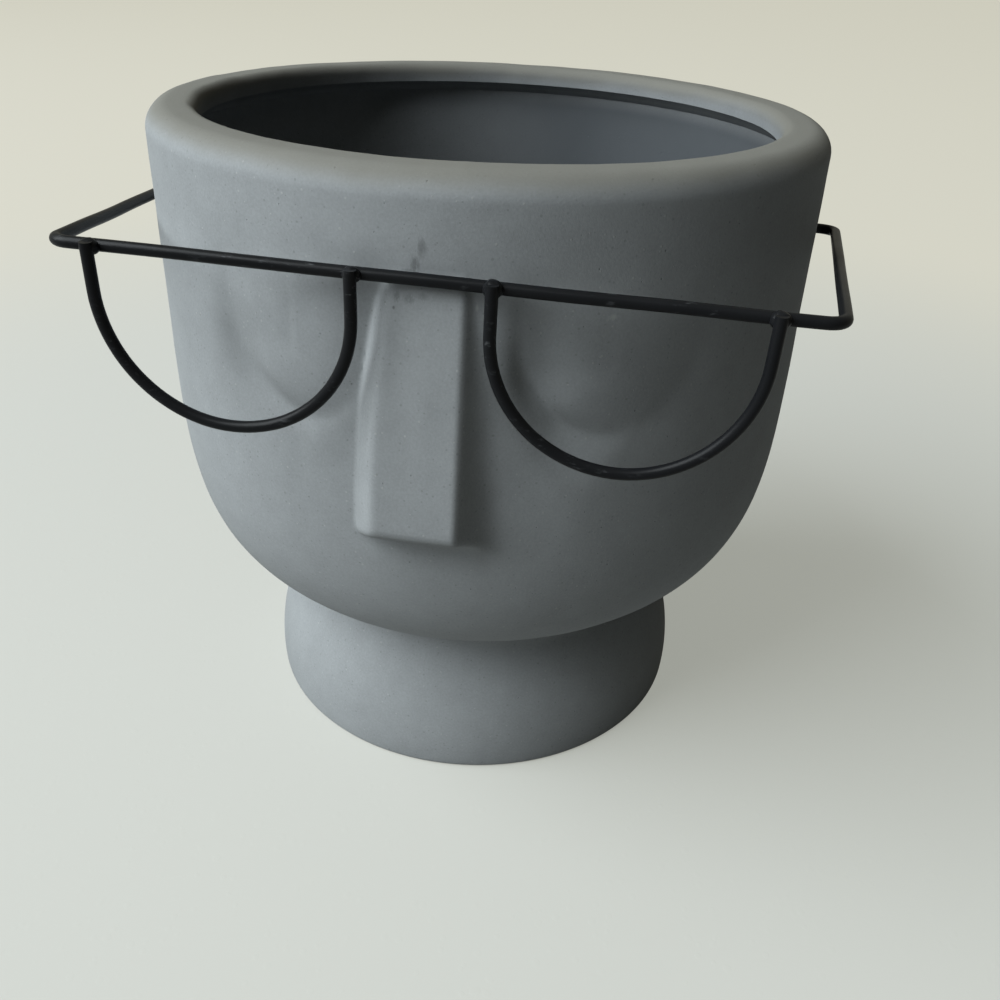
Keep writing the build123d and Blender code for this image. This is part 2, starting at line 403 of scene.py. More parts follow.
def speck_group():
    """Scattered specks: some of many small cells hold a round spot of its own size."""
    inputs = [("Vector", "vector"), *floats("Cells", "Share", "Size")]
    group, tree, given, end = make_group("ShaderNodeTree", "scattered_specks", inputs, floats("Mask"))
    cells = tree.node("ShaderNodeTexVoronoi", {"Vector": given["Vector"], "Scale": given["Cells"]})
    chances = tree.node("ShaderNodeSeparateColor", {0: cells.outputs["Color"]})
    chance = tree.value(chances.outputs[0])
    spread = tree.value(chances.outputs[1])
    chosen = tree.maths("GREATER_THAN", given["Share"], chance)
    smallest = 0.45
    radius = given["Size"] * (smallest + (1.0 - smallest) * spread)
    distance = tree.value(cells.outputs["Distance"])
    spot = tree.fall(distance / radius, 0.55, 1.0)
    finish_group(tree, end, {"Mask": spot * chosen})
    return group


def smudge_group():
    """A smudge of a given place and size on the front, broken into short upright streaks."""
    inputs = [("Vector", "vector"), *floats("Across", "Height", "Half Width", "Half Height", "Streaks")]
    group, tree, given, end = make_group("ShaderNodeTree", "smudge_mask", inputs, floats("Mask"))
    x, y, z = tree.parts(given["Vector"])
    sideways = (x - given["Across"]) / given["Half Width"]
    upward = (z - given["Height"]) / given["Half Height"]
    distance = tree.maths("SQRT", sideways * sideways + upward * upward)
    near = tree.fall(distance, 0.15, 1.0)
    front = tree.fall(y, *FACE_SIDE)
    streak_place = tree.vector(x * given["Streaks"], y * 300.0, z * given["Streaks"] * 0.35)
    streaky = tree.noise(streak_place, scale=1.0, detail=3.0, roughness=0.6)
    streaks = tree.ramp(streaky + near * 0.25, 0.5, 0.72)
    finish_group(tree, end, {"Mask": near * streaks * front})
    return group


def scratch_group():
    """Thin broken scratches and rubbed patches on painted wire."""
    inputs = [("Vector", "vector"), *floats("Scale", "Amount")]
    outputs = floats("Mask", "Height")
    group, tree, given, end = make_group("ShaderNodeTree", "worn_paint", inputs, outputs)
    x, y, z = tree.parts(given["Vector"])
    along = tree.vector(x * 0.25, y, z)
    fine = tree.noise(along, scale=given["Scale"], detail=4.0, roughness=0.65)
    patches = tree.noise(given["Vector"], scale=given["Scale"] * 0.09, detail=2.0, roughness=0.5)
    marks = tree.ramp(fine, 0.56, 0.68) * tree.ramp(patches, 0.5, 0.68)
    finish_group(tree, end, {"Mask": marks * given["Amount"], "Height": fine * 0.6 + patches})
    return group


SHADER_PLACE = (3100, 0)


def new_material(name):
    """An empty material with its shader and output, and the object's own coordinates."""
    material = bpy.data.materials.new(name)
    material.use_nodes = True
    material.node_tree.nodes.clear()
    tree = Tree(material.node_tree)
    output = material.node_tree.nodes.new("ShaderNodeOutputMaterial")
    output.location = (SHADER_PLACE[0] + 300, SHADER_PLACE[1])
    shader = material.node_tree.nodes.new("ShaderNodeBsdfPrincipled")
    shader.location = SHADER_PLACE
    material.node_tree.links.new(shader.outputs[0], output.inputs["Surface"])
    return tree, shader, tree.node("ShaderNodeTexCoord").outputs["Object"]


def specks(tree, group, vector, cells, chance, size):
    """Place the speck group in a material."""
    inputs = {"Vector": vector, "Cells": cells, "Share": chance, "Size": size}
    return tree.value(tree.group(group, inputs).outputs["Mask"])


def smudge_mask(tree, group, vector, across, height, half_width, half_height, streaks):
    """Place the smudge group in a material, its place and half sizes given in millimetres."""
    inputs = {
        "Vector": vector,
        "Across": across * MM,
        "Height": height * MM,
        "Half Width": half_width * MM,
        "Half Height": half_height * MM,
        "Streaks": streaks,
    }
    return tree.value(tree.group(group, inputs).outputs["Mask"])


def add_bump(tree, shader, height, distance, strength):
    """Give a shader a bump of a height."""
    inputs = {"Height": height, "Distance": distance, "Strength": strength}
    tree.feed(shader.inputs["Normal"], tree.node("ShaderNodeBump", inputs).outputs[0])


def stoneware_material(settings, speck, rub):
    """Matte cast stoneware: sandy grain, pinholes, pale grains, slow tone and rub marks, with painted
    shade inside, painted light and shade on the lip's top and a painted highlight on the right lid.
    """
    finish = settings.finish
    tree, shader, place_on_pot = new_material("matte_stoneware")
    slow = tree.noise(place_on_pot, scale=22.0, detail=3.0, roughness=0.55)
    middling = tree.noise(place_on_pot, scale=150.0, detail=3.0, roughness=0.6)
    grain = tree.noise(place_on_pot, scale=1500.0, detail=2.0, roughness=0.6)
    tone = 1.0 + (slow - 0.5) * 0.2 + (middling - 0.5) * 0.2 + (grain - 0.5) * 0.3
    base = tree.node("ShaderNodeVectorMath", {0: finish.clay, "Scale": tone}, operation="SCALE")
    pinholes = specks(tree, speck, place_on_pot, cells=420.0, chance=0.22, size=0.14)
    dark_grains = specks(tree, speck, place_on_pot, cells=700.0, chance=0.3, size=0.3)
    pale_grains = specks(tree, speck, place_on_pot, cells=560.0, chance=0.24, size=0.24)
    skin = tree.blend(dark_grains * 0.3, base.outputs[0], finish.clay_dark)
    skin = tree.blend(pale_grains * 0.3, skin, finish.pale_grain_and_highlight)
    skin = tree.blend(pinholes * 0.36, skin, finish.clay_dark)

    # Painted shade inside the bowl below the lip, strongest on the right where the lamp lights the inside,
    # and a darker band along the lip's inner edge
    x, y, z = tree.parts(place_on_pot)
    radius = tree.maths("SQRT", x * x + y * y)
    drop = tree.ramp(z, BOWL_FOOT, settings.pot.belly_height, 1.0, 0.0, soft=False)
    wall_middle = WALL_MIDDLE * (1.0 - drop**settings.pot.base_power) ** BOWL_FULLNESS
    inside = tree.fall(radius - wall_middle, -1.0 * MM, 1.0 * MM)
    inside = inside * tree.fall(z, *INSIDE_SHADE_TOP)
    shade_share = tree.ramp(x + (slow - 0.5) * 0.03, -0.07, 0.03, 0.2, 1.0)
    lip_inner = tree.fall(radius + (slow - 0.5) * 0.002, *LIP_INNER)
    lip_inner = lip_inner * tree.ramp(z, *INSIDE_SHADE_TOP)
    darkened = tree.maths("MAXIMUM", inside * shade_share, lip_inner * 0.32)
    skin = tree.blend(darkened, skin, finish.stain)
    # Painted warm light and shade: the lip's top is warmer and darker than its side
    painted_lip_top = tree.ramp(z + (slow - 0.5) * 0.004, *PAINTED_LIP_TOP)
    skin = tree.blend(painted_lip_top * 0.75, skin, finish.painted_lip_top_tone)

    # Marks that the wire has rubbed on the brow, then a painted highlight on the right lid and a pale
    # streak beside the nose top: place across, height, half width and half height in millimetres, fineness
    # of the streaks, and strength
    marks = (
        (0.0, 181.6, 1.8, 3.2, 1500.0, 0.5),
        (1.6, 185.4, 1.9, 3.6, 1300.0, 0.42),
        (-1.2, 180.0, 3.4, 0.9, 2600.0, 0.3),
        (-4.0, 174.2, 1.3, 2.2, 4200.0, 0.4),
        (-1.2, 173.9, 2.2, 1.9, 3600.0, 0.36),
        (2.0, 174.6, 2.0, 1.5, 3600.0, 0.22),
        (-4.7, 171.7, 0.6, 0.7, 900.0, 0.6),
    )
    for *spot, strength in marks:
        skin = tree.blend(smudge_mask(tree, rub, place_on_pot, *spot) * strength, skin, finish.rub)
    # The first is a painted highlight on the right lid; the second lightens a thin streak beside the nose
    # top
    highlight_and_pale_spot = (
        (44.6, 170.1, 2.2, 1.5, 900.0, 0.4),
        (14.2, 172.6, 0.6, 1.4, 2600.0, 0.5),
    )
    for *spot, strength in highlight_and_pale_spot:
        skin = tree.blend(smudge_mask(tree, rub, place_on_pot, *spot) * strength, skin, finish.pale_grain_and_highlight)
    tree.feed(shader.inputs["Base Color"], skin)
    tree.feed(shader.inputs["Roughness"], 0.8 + (middling - 0.5) * 0.2)
    shader.inputs["Specular IOR Level"].default_value = 0.3
    height = grain * 0.5 + middling * 0.7 - pinholes * 1.2 + pale_grains * 0.3
    add_bump(tree, shader, height, distance=0.12 * MM, strength=0.7)


def wire_material(settings, worn, amount, name):
    """Satin black paint on wire, scratched and rubbed thin in patches."""
    finish = settings.finish
    tree, shader, place_on_wire = new_material(name)
    wear = tree.group(worn, {"Vector": place_on_wire, "Scale": 900.0, "Amount": amount})
    mask = tree.value(wear.outputs["Mask"])
    slow = tree.noise(place_on_wire, scale=60.0, detail=2.0, roughness=0.5)
    paint = tree.blend(slow * 0.3, finish.paint, DRY_PAINT)
    tree.feed(shader.inputs["Base Color"], tree.blend(mask, paint, finish.worn))
    tree.feed(shader.inputs["Roughness"], 0.34 + mask * 0.2 + (slow - 0.5) * 0.2)
    shader.inputs["Specular IOR Level"].default_value = 0.1
    tree.feed(shader.inputs["Metallic"], mask * 0.4)
    add_bump(tree, shader, wear.outputs["Height"], distance=0.08 * MM, strength=0.5)


def camera_share(tree, rays):
    """One for what the camera sees, and less for what gloss reflects."""
    in_gloss = tree.value(rays.outputs["Is Glossy Ray"]) * GLOSS_SHARE
    return tree.maths("MAXIMUM", tree.value(rays.outputs["Is Camera Ray"]), in_gloss)


def floor_material(settings, speck):
    """A plain pale floor, part of whose paleness only the camera and gloss see."""
    tree, shader, place_on_floor = new_material("pale_floor")
    slow = tree.noise(place_on_floor, scale=9.0, detail=3.0, roughness=0.5)
    across, along, _ = tree.parts(place_on_floor)
    distance = tree.maths("SQRT", across * across + along * along)
    far = tree.ramp(distance + (slow - 0.5) * 0.02, *FLOOR_CHANGE)
    finish = settings.finish
    tree.feed(shader.inputs["Base Color"], tree.blend(far, finish.floor, finish.far_floor))
    shader.inputs["Roughness"].default_value = 0.75
    shader.inputs["Specular IOR Level"].default_value = 0.25
    grain = specks(tree, speck, place_on_floor, cells=260.0, chance=0.5, size=0.4)
    add_bump(tree, shader, grain, distance=0.1 * MM, strength=0.2)
    glow = tree.blend(far, finish.floor_glow, finish.far_glow)
    seen = camera_share(tree, tree.node("ShaderNodeLightPath")) * tree.ramp(distance, *UNDER_FOOT)
    pale = tree.node("ShaderNodeEmission", {"Color": glow, "Strength": seen})
    mix = tree.node("ShaderNodeAddShader", {0: shader.outputs[0], 1: pale.outputs[0]})
    tree.feed(tree.node_tree.nodes["Material Output"].inputs["Surface"], mix.outputs[0])


def ready_material(name):
    """A material that an earlier operator made."""
    material = bpy.data.materials.get(name)
    if material is None:
        raise RuntimeError(f"run the materials operator first: {name} is missing")
    return material


# Outline of the pot's section

def arc(middle, radius, start, stop, steps):
    """Points on an arc, its angles in degrees from the outward direction up."""
    points = []
    for step in range(steps + 1):
        turn = math.radians(start + (stop - start) * step / steps)
        points.append((middle[0] + radius * math.cos(turn), middle[1] + radius * math.sin(turn)))
    return points


def arc_through(start, middle, stop, steps):
    """Points on a parabola from start through middle to stop."""
    control = (
        2 * middle[0] - (start[0] + stop[0]) / 2,
        2 * middle[1] - (start[1] + stop[1]) / 2,
    )
    points = []
    for step in range(steps + 1):
        t = step / steps
        points.append(
            tuple(
                (1 - t) ** 2 * start[axis] + 2 * t * (1 - t) * control[axis] + t * t * stop[axis]
                for axis in (0, 1)
            )
        )
    return points


def bowl_curve(pot, radius, base_height, root_radius, step_length):
    """Points up the rounded bowl, at even steps along it."""
    root_share = (1 - (root_radius / radius) ** pot.side_power) ** (1 / pot.base_power)
    fine_steps = 400
    fine = []
    for step in range(fine_steps + 1):
        drop = root_share * (1 - step / fine_steps)
        out = radius * (1 - drop**pot.base_power) ** (1 / pot.side_power)
        fine.append((out, pot.belly_height - (pot.belly_height - base_height) * drop))
    points = [fine[0]]
    run = 0.0
    for before, after in zip(fine, fine[1:]):
        run += math.dist(before, after)
        if run >= step_length:
            points.append(after)
            run = 0.0
    if math.dist(points[-1], fine[-1]) < step_length / 2:
        points.pop()
    points.append(fine[-1])
    return points


def straight(start, stop, steps):
    """Points on a straight run."""
    return [
        (start[0] + (stop[0] - start[0]) * step / steps, start[1] + (stop[1] - start[1]) * step / steps)
        for step in range(steps + 1)
    ]


def pot_section(pot):
    """The closed section loop: points with their share of outer skin and of lip edge."""
    wall, rim, top = pot.wall, pot.rim_radius, pot.pot_height
    mouth, drain = pot.mouth_radius, pot.drain_radius
    foot_edge = 1.6 * MM
    ring_out = pot.foot_radius - foot_edge
    foot_top = (pot.foot_top_radius, pot.foot_height)
    foot_middle = ((pot.foot_radius + pot.foot_top_radius) / 2 + pot.foot_swell, pot.foot_height / 2)
    outer_bowl = bowl_curve(pot, pot.belly_radius, pot.base_height, pot.root_radius, 1.3 * MM)
    inner_belly, inner_neck = pot.belly_radius - wall, pot.neck_radius - wall
    inner_bowl = bowl_curve(pot, inner_belly, pot.base_height + wall, inner_neck, 4.5 * MM)
    under_lip = (rim - wall, top - pot.lip_depth - pot.lip_undercut)
    outer_round, inner_round = pot.lip_outer_round, pot.lip_inner_round
    inner_foot_top = (pot.foot_top_radius - wall, pot.foot_height)
    inner_foot_middle = (foot_middle[0] - wall, foot_middle[1] + wall / 2)
    inner_foot = (pot.foot_radius - wall, pot.floor_height)

    # Each run has its points, its share of outer skin and its share of lip edge
    runs = [
        (straight((pot.ring_radius, 0.0), (ring_out, 0.0), 2), 0, 0),
        (arc((ring_out, foot_edge), foot_edge, -90, 0, 4), 0, 0),
        (arc_through((pot.foot_radius, foot_edge), foot_middle, foot_top, 22), 0, 0),
        (arc_through(foot_top, (pot.neck_radius, pot.neck_height), outer_bowl[0], 8), 0, 0),
        (outer_bowl, 1, 0),
        (straight((pot.belly_radius, pot.belly_height), (rim, top - outer_round), 50), 1, 0),
        (arc((rim - outer_round, top - outer_round), outer_round, 0, 90, 10), 0, 0),
        (straight((rim - outer_round, top), (mouth + inner_round, top), 3), 0, 0.3),
        (arc((mouth + inner_round, top - inner_round), inner_round, 90, 180, 7), 0, 1),
        (straight((mouth, top - inner_round), (mouth, top - pot.lip_depth), 2), 0, 1),
        (straight((mouth, top - pot.lip_depth), under_lip, 4), 0, 0.5),
        (straight(under_lip, inner_bowl[-1], 12), 0, 0),
        (inner_bowl[::-1], 0, 0),
        (arc_through(inner_bowl[0], (inner_neck, pot.neck_height + wall / 2), inner_foot_top, 3), 0, 0),
        (arc_through(inner_foot_top, inner_foot_middle, inner_foot, 6), 0, 0),
        (straight(inner_foot, (drain, pot.floor_height), 8), 0, 0),
        (straight((drain, pot.floor_height), (drain, pot.base_recess), 3), 0, 0),
        (straight((drain, pot.base_recess), (pot.ring_radius, pot.base_recess), 6), 0, 0),
        (straight((pot.ring_radius, pot.base_recess), (pot.ring_radius, 0.0), 2), 0, 0),
    ]
    rows = []
    for run, skin, lip in runs:
        for point in run:
            if not rows or math.dist(rows[-1][0], point) >= SAME_PLACE:
                rows.append((point, float(skin), float(lip)))
    if math.dist(rows[0][0], rows[-1][0]) < SAME_PLACE:
        rows.pop()
    return zip(*rows)


def link_object(name, data):
    """A new object in the scene."""
    piece = bpy.data.objects.new(name, data)
    bpy.context.scene.collection.objects.link(piece)
    return piece


def section_object(name, points, shares):
    """A mesh of loose points along a section, with named shares on them."""
    mesh = bpy.data.meshes.new(name)
    mesh.from_pydata([(out, 0.0, up) for out, up in points], [], [])
    for share_name, values in shares.items():
        attribute = mesh.attributes.new(share_name, "FLOAT", "POINT")
        attribute.data.foreach_set("value", values)
    return link_object(name, mesh)


# Geometry node trees

def end_piece(tree, end, output, geometry, material):
    """Make a tree's instances real, give them their material, and end the tree."""
    made = tree.node("GeometryNodeRealizeInstances", {"Geometry": geometry})
    inputs = {"Geometry": made.outputs[0], "Material": material}
    finish_group(tree, end, {output: tree.node("GeometryNodeSetMaterial", inputs).outputs[0]})


FACE_INPUTS = tuple(FaceSizes.__annotations__)
POT_INPUTS = ("unevenness", "lip_waver", "front_share", "ear_radius")


def title(name):
    """The name of a tree's input, from the name of the setting that feeds it."""
    return name.replace("_", " ").title()


def nose_reach(tree, given, x, z):
    """How far in front of the axis the nose stands at a place across and up."""
    down = tree.maths("MAXIMUM", given["Nose Top"] - z, 0.0)
    run = given["Nose Top"] - given["Nose Tip"]
    lean = (given["Nose Reach"] - given["Nose Top Reach"]) / run
    front = given["Nose Top Reach"] + down * lean
    spread = given["Left Top Half"] + down * given["Left Spread"]
    left_half = tree.maths("SMOOTH_MIN", spread, given["Left Tip Half"], 3.0 * MM)
    past_edge = -left_half - x
    bevel = front - past_edge * given["Bevel Slope"]
    left = bevel - (past_edge - given["Bevel Width"]) * (given["Left Slope"] - given["Bevel Slope"])
    right = front - (x - given["Right Half"]) * given["Right Slope"]
    under = given["Nose Reach"] - (given["Nose Tip"] - z) * given["Under Slope"]

    # Each flank rounds into the front over its own share of the blend
    form = front
    for flank, blend_share in ((right, 0.55), (bevel, 0.5), (left, 0.6), (under, 1.0)):
        form = tree.maths("SMOOTH_MIN", form, flank, given["Edge Blend"] * blend_share)

    # The top of the nose sinks away into the brow
    brow_run, brow_fall = 12.0 * MM, 60.0
    above = tree.maths("MAXIMUM", z - (given["Nose Top"] - brow_run), 0.0)
    return form - above * above * brow_fall


# How far each valley is drawn in below, and its widths on the inside and low down
EYES = {
    "Left Eye": {"drawn_in": 0.0005, "inner_width": 1.5, "low_width": 1.6},
    "Right Eye": {"drawn_in": 0.0025, "inner_width": 0.85, "low_width": 1.3},
}


def eye_shape(tree, given, x, z, name):
    """How far one eye sinks the face: a valley round the lid, less the lid's own swell."""
    eye = EYES[name]
    sideways = x - given[name]
    above_middle = z - given[name + " Height"]
    below = tree.maths("MINIMUM", above_middle, 0.0)
    power = given["Eye Power"]
    reach = tree.maths("ABSOLUTE", sideways) ** power + tree.maths("ABSOLUTE", below) ** power
    from_middle = reach ** (1.0 / power)
    leftness = tree.maths("MAXIMUM", -sideways / from_middle, 0.0)
    lowness = -below / from_middle

    # The lower valley is drawn in, and its two sides have widths of their own
    drawn_in = tree.fall(above_middle, -0.008, 0.006) * eye["drawn_in"]
    off_valley = from_middle - given["Eye Radius"] + drawn_in
    on_leg = tree.ramp(above_middle, -0.01, 0.003)
    inner_width = eye["inner_width"] + leftness * on_leg * 1.3
    outer_width = 1.45 - leftness * 0.45 + lowness * eye["low_width"]
    outside = tree.ramp(off_valley, -0.0005, 0.0005)
    width = given["Valley Width"] * (inner_width + (outer_width - inner_width) * outside)
    off_share = off_valley / width
    valley = 1.0 / (1.0 + off_share * off_share) ** 2.2

    # The valley fades up the legs, and towards the right
    if name == "Left Eye":
        corner = tree.maths("MAXIMUM", sideways / from_middle, 0.0) * lowness
        nearness = tree.ramp(sideways, -0.012, 0.02, 1.0, 0.85) * (1.0 - corner * 0.7)
        left_fade = tree.ramp(z, 0.14, 0.166, 1.15, 0.4) * tree.fall(z, 0.168, 0.184)
        right_fade = tree.fall(z, 0.164, 0.186)
        top_fade = left_fade + (right_fade - left_fade) * tree.ramp(sideways, -0.005, 0.005)
    else:
        nearness = tree.ramp(sideways - below * 0.4, -0.008, 0.014, 1.3, 0.08)
        top_fade = tree.ramp(z, 0.15, 0.168, 1.1, 0.4) * tree.fall(z, 0.166, 0.182)
    lid = tree.fall(from_middle, given["Eye Radius"] * 0.2, given["Eye Radius"])
    lid_fade = tree.fall(z, 0.16, 0.182)
    return given["Valley Depth"] * valley * top_fade * nearness - given["Lid Swell"] * lid * lid_fade


def turned_pot_tree():
    """Turns a section of points about the upright axis, and works the face into its skin."""
    inputs = [("Section", "geometry"), ("Columns", "whole")]
    inputs += floats(*(title(name) for name in FACE_INPUTS + POT_INPUTS))
    inputs += [("Ear Place", "vector"), ("Material", "material")]
    outputs = [("Pot", "geometry")]
    group, tree, given, end = make_group("GeometryNodeTree", "turned_head_pot", inputs, outputs)
    size = tree.node("GeometryNodeAttributeDomainSize", {0: given["Section"]}, component="MESH")
    rows = tree.value(size.outputs[0])
    steps = {"Vertices X": given["Columns"] + 1.0, "Vertices Y": rows + 1.0}
    grid = tree.node("GeometryNodeMeshGrid", {"Size X": 1.0, "Size Y": 1.0, **steps})
    position = tree.node("GeometryNodeInputPosition").outputs[0]
    across, along, _ = tree.parts(position)
    turn = (across + 0.5) * math.tau
    row = tree.maths("MODULO", tree.maths("ROUND", (along + 0.5) * rows), rows)

    def read_section(kind, source):
        """What the section holds at this row."""
        inputs = {"Geometry": given["Section"], "Value": source, "Index": row}
        return tree.node("GeometryNodeSampleIndex", inputs, data_type=kind, domain="POINT").outputs[0]

    def read_share(name):
        """A named share of the section at this row."""
        named = tree.node("GeometryNodeInputNamedAttribute", {"Name": name}, data_type="FLOAT")
        return tree.value(read_section("FLOAT", named.outputs[0]))

    out, _, up = tree.parts(read_section("FLOAT_VECTOR", position))
    skin, lip = read_share("skin"), read_share("lip")

    # Steps are closest at the face, where the turn is nothing
    swing = turn - given["Front Share"] * tree.maths("SINE", turn)
    sine, cosine = tree.maths("SINE", swing), tree.maths("COSINE", swing)
    plain_place = tree.vector(sine, cosine, up * 10.0)
    waves = tree.noise(plain_place, scale=2.2)
    lip_waves = tree.noise(plain_place, scale=5.5)
    wave_crest, wave_gain, lip_crest = 0.62, 2.4, 0.6
    sag = tree.maths("MAXIMUM", wave_crest - waves, 0.0) * given["Unevenness"] * wave_gain
    off_floor = tree.ramp(up, 0.0, 0.03)
    radius = out - sag * off_floor + (lip_waves - 0.5) * lip * given["Lip Waver"] * 2.0
    on_lip = tree.ramp(up, *LIP_TOP)
    height = up - tree.maths("MAXIMUM", lip_crest - lip_waves, 0.0) * given["Lip Waver"] * on_lip

    # Eyes are sunk towards the axis, then the nose grows out of the face
    x = radius * sine
    in_front = tree.ramp(cosine, 0.1, 0.3)
    left, right = (eye_shape(tree, given, x, up, name) for name in EYES)
    radius = radius - (left + right) * skin * in_front
    x, depth = radius * sine, radius * cosine
    root_blend = tree.ramp(up, 0.15, 0.18, 1.0, 0.1) * given["Root Blend"]
    root_blend = root_blend * tree.ramp(x, -0.012, 0.004, 0.35, 1.8)
    nosed = tree.maths("SMOOTH_MAX", depth, nose_reach(tree, given, x, up), root_blend)
    in_middle = tree.fall(tree.maths("ABSOLUTE", x), 0.038, 0.046)
    depth = depth + (nosed - depth) * skin * in_front * in_middle
    inputs = {"Geometry": grid.outputs["Mesh"], "Position": tree.vector(x, -depth, height)}
    moved = tree.node("GeometryNodeSetPosition", inputs)
    inputs = {"Geometry": moved.outputs[0], "Distance": 0.01 * MM}
    closed = tree.node("GeometryNodeMergeByDistance", inputs)
    inputs = {"Vertices": 40, "Radius": given["Ear Radius"], "Depth": 0.26}
    drill = tree.node("GeometryNodeMeshCylinder", inputs)
    inputs = {
        "Geometry": drill.outputs["Mesh"],
        "Translation": given["Ear Place"],
        "Rotation": (0.0, math.pi / 2, 0.0),
    }
    laid = tree.node("GeometryNodeTransform", inputs)
    inputs = {"Mesh 1": closed.outputs[0], "Mesh 2": laid.outputs[0]}
    drilled = tree.node("GeometryNodeMeshBoolean", inputs, operation="DIFFERENCE", solver="EXACT")
    end_piece(tree, end, "Pot", drilled.outputs["Mesh"], given["Material"])
    return group


def bent_wire_tree():
    """Rounds the corners of a line, lets it wander a little, and gives it round wire."""
    numbers = floats("Wire Radius", "Bend Radius", "Step", "Waver", "Seed")
    inputs = [("Line", "geometry"), *numbers, ("Material", "material")]
    outputs = [("Wire", "geometry")]
    group, tree, given, end = make_group("GeometryNodeTree", "bent_wire", inputs, outputs)
    inputs = {"Curve": given["Line"], "Count": 8, "Radius": given["Bend Radius"]}
    bends = tree.node("GeometryNodeFilletCurve", inputs, mode="POLY")
    inputs = {"Curve": bends.outputs[0], "Length": given["Step"]}
    steps = tree.node("GeometryNodeResampleCurve", inputs, mode="LENGTH")
    x, y, z = tree.parts(tree.node("GeometryNodeInputPosition").outputs[0])
    seed = given["Seed"]
    across = tree.noise(tree.vector(x, y + seed, z), scale=26.0, detail=1.0)
    upward = tree.noise(tree.vector(x + seed, y, z), scale=22.0, detail=1.0)
    factor = tree.value(tree.node("GeometryNodeSplineParameter").outputs["Factor"])
    ends = tree.ramp(factor, 0.0, 0.12) * tree.fall(factor, 0.88, 1.0)
    away = (across - 0.5) * given["Waver"] * 2.0 * ends
    lift = (upward - 0.5) * given["Waver"] * 2.0 * ends
    inputs = {"Geometry": steps.outputs[0], "Offset": tree.vector(0.0, away, lift)}
    wander = tree.node("GeometryNodeSetPosition", inputs)
    tip_share, tip_run = 0.72, 0.0005
    tip = tree.ramp(factor, 0.0, tip_run, tip_share, 1.0)
    tip = tip * tree.ramp(factor, 1.0 - tip_run, 1.0, 1.0, tip_share)
    kept = tree.node("GeometryNodeSetCurveRadius", {"Curve": wander.outputs[0], "Radius": tip})
    inputs = {"Resolution": 20, "Radius": given["Wire Radius"]}
    ring = tree.node("GeometryNodeCurvePrimitiveCircle", inputs, mode="RADIUS")
    inputs = {"Curve": kept.outputs[0], "Profile Curve": ring.outputs[0], "Fill Caps": True}
    skin = tree.node("GeometryNodeCurveToMesh", inputs)
    end_piece(tree, end, "Wire", skin.outputs[0], given["Material"])
    return group


def weld_bead_tree():
    """Puts one lumpy bead at each point, no two alike."""
    numbers = [*floats("Bead Radius", "Lumps"), ("Seed", "whole")]
    inputs = [("Spots", "geometry"), *numbers, ("Material", "material")]
    outputs = [("Beads", "geometry")]
    group, tree, given, end = make_group("GeometryNodeTree", "weld_beads", inputs, outputs)
    inputs = {"Subdivisions": 4, "Radius": given["Bead Radius"]}
    ball = tree.node("GeometryNodeMeshIcoSphere", inputs)
    inputs = {0: (0.92, 0.94, 0.86), 1: (1.08, 0.98, 1.0), "Seed": given["Seed"]}
    sizes = tree.node("FunctionNodeRandomValue", inputs, data_type="FLOAT_VECTOR")
    inputs = {"Points": given["Spots"], "Instance": ball.outputs["Mesh"], "Scale": sizes.outputs[0]}
    spread = tree.node("GeometryNodeInstanceOnPoints", inputs)
    made = tree.node("GeometryNodeRealizeInstances", {"Geometry": spread.outputs[0]})
    lumps = tree.noise(tree.node("GeometryNodeInputPosition").outputs[0], scale=520.0)
    push = (lumps - 0.55) * given["Lumps"]
    normal = tree.node("GeometryNodeInputNormal").outputs[0]
    offset = tree.node("ShaderNodeVectorMath", {0: normal, "Scale": push}, operation="SCALE")
    inputs = {"Geometry": made.outputs[0], "Offset": offset.outputs[0]}
    lumpy = tree.node("GeometryNodeSetPosition", inputs)
    end_piece(tree, end, "Beads", lumpy.outputs[0], given["Material"])
    return group


def grow(start, group, values, name, body, node_name, sharp_degrees):
    """Run a tree on a start object, keep its result as a plain piece, and place the piece."""
    modifier = start.modifiers.new(group.name, "NODES")
    modifier.node_group = group
    for item in group.interface.items_tree:
        if item.item_type == "SOCKET" and item.in_out == "INPUT" and item.name in values:
            modifier[item.identifier] = values[item.name]
    start.update_tag()
    bpy.context.view_layer.update()
    evaluated = start.evaluated_get(bpy.context.evaluated_depsgraph_get())
    mesh = bpy.data.meshes.new_from_object(evaluated)
    if not mesh.polygons:
        raise RuntimeError(f"the tree {group.name} made no faces for {name}")
    mesh.name = name
    for attribute_name in ("skin", "lip"):
        attribute = mesh.attributes.get(attribute_name)
        if attribute is not None:
            mesh.attributes.remove(attribute)
    mesh.shade_smooth()
    mesh.set_sharp_from_angle(angle=math.radians(sharp_degrees))
    start.modifiers.remove(modifier)
    bpy.data.objects.remove(start)
    piece = link_object(name, mesh)
    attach(piece, body)
    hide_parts(node_name)


def line_object(name, points):
    """A straight-run curve through points, for the wire tree to bend."""
    curve = bpy.data.curves.new(name, "CURVE")
    curve.dimensions = "3D"
    spline = curve.splines.new("POLY")
    spline.points.add(len(points) - 1)
    for point, corner in zip(spline.points, points):
        point.co = (*corner, 1.0)
    return link_object(name, curve)


def half_moon(wire, centre, along, down):
    """Points of one lens wire: down a leg, round the half-moon and up the other leg."""
    radius, leg = wire.lens_radius, wire.lens_leg + wire.wire_radius
    points = [centre - along * radius - down * leg]
    for step in range(MOON_STEPS + 1):
        turn = math.pi * step / MOON_STEPS
        points.append(centre - along * (radius * math.cos(turn)) + down * (radius * math.sin(turn)))
    points.append(centre + along * radius - down * leg)
    return points


def brow_bar(wire, distance):
    """The middle between the lenses at a distance in front of the axis, and the bar's direction."""
    left, right = Vector(wire.bar_left), Vector(wire.bar_right)
    middle = left.lerp(right, (wire.lens_shift - left.x) / (right.x - left.x))
    middle.y = -distance
    return middle, (right - left).normalized()


# Stage

